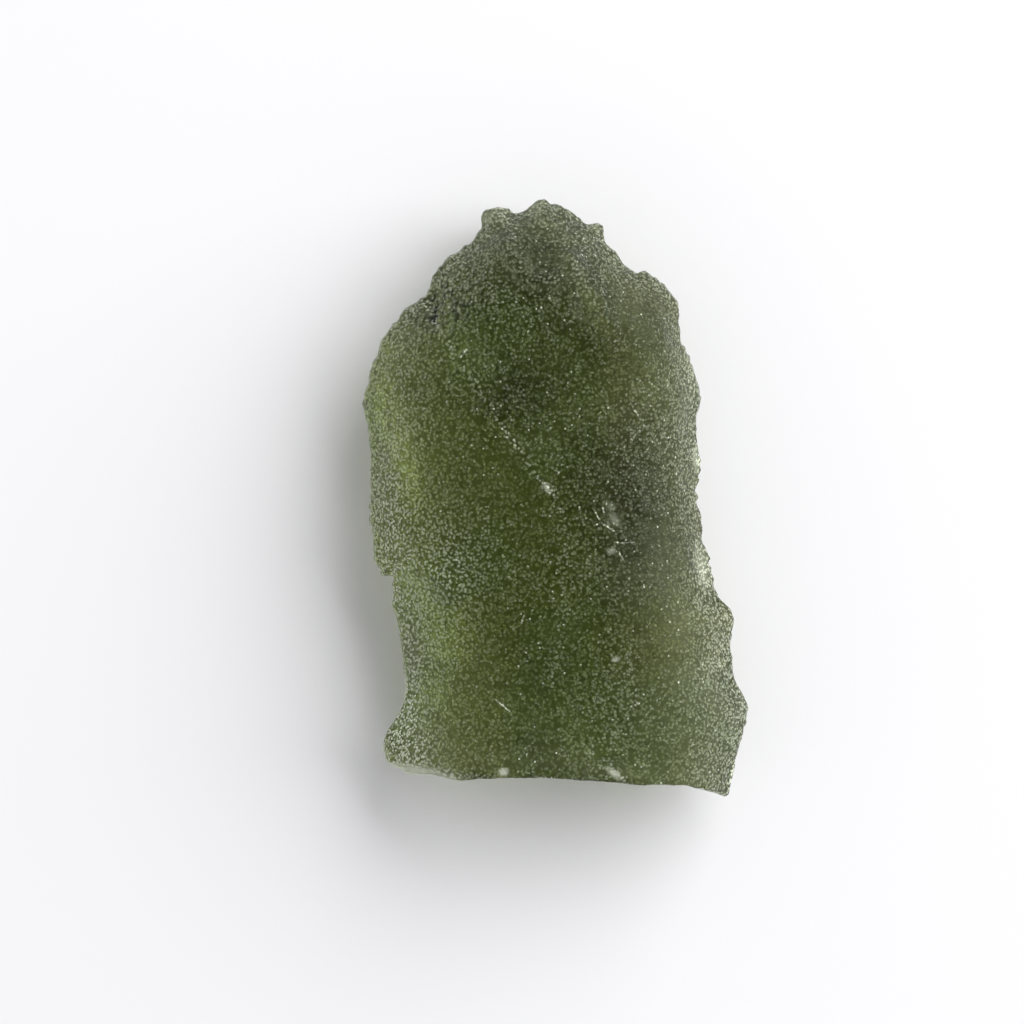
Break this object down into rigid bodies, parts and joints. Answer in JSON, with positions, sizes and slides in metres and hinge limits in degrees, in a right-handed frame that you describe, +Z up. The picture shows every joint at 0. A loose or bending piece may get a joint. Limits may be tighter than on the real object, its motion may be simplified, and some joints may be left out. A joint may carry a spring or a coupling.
{
  "type": "raw moldavite",
  "caption": "Raw moldavite: a flat arch-shaped flake of etched bottle-green natural glass with a pointed crown, a thin wavy rim and one broken end.",
  "frame": {"origin": "under the middle of the outline seen from above, on the surface that the stone rests on", "axes": "+Z up out of the broad pictured face, +Y along the stone towards its pointed crown, +X to the right of the pictured face"},
  "size_m": [0.0194, 0.03, 0.007],
  "materials": {
    "moldavite_glass": "see-through bottle-green glass under a skin of fine natural etch pits, so it looks frosted"
  },
  "bodies": {
    "root": {"moldavite": "moldavite_glass"}
  },
  "joints": []
}
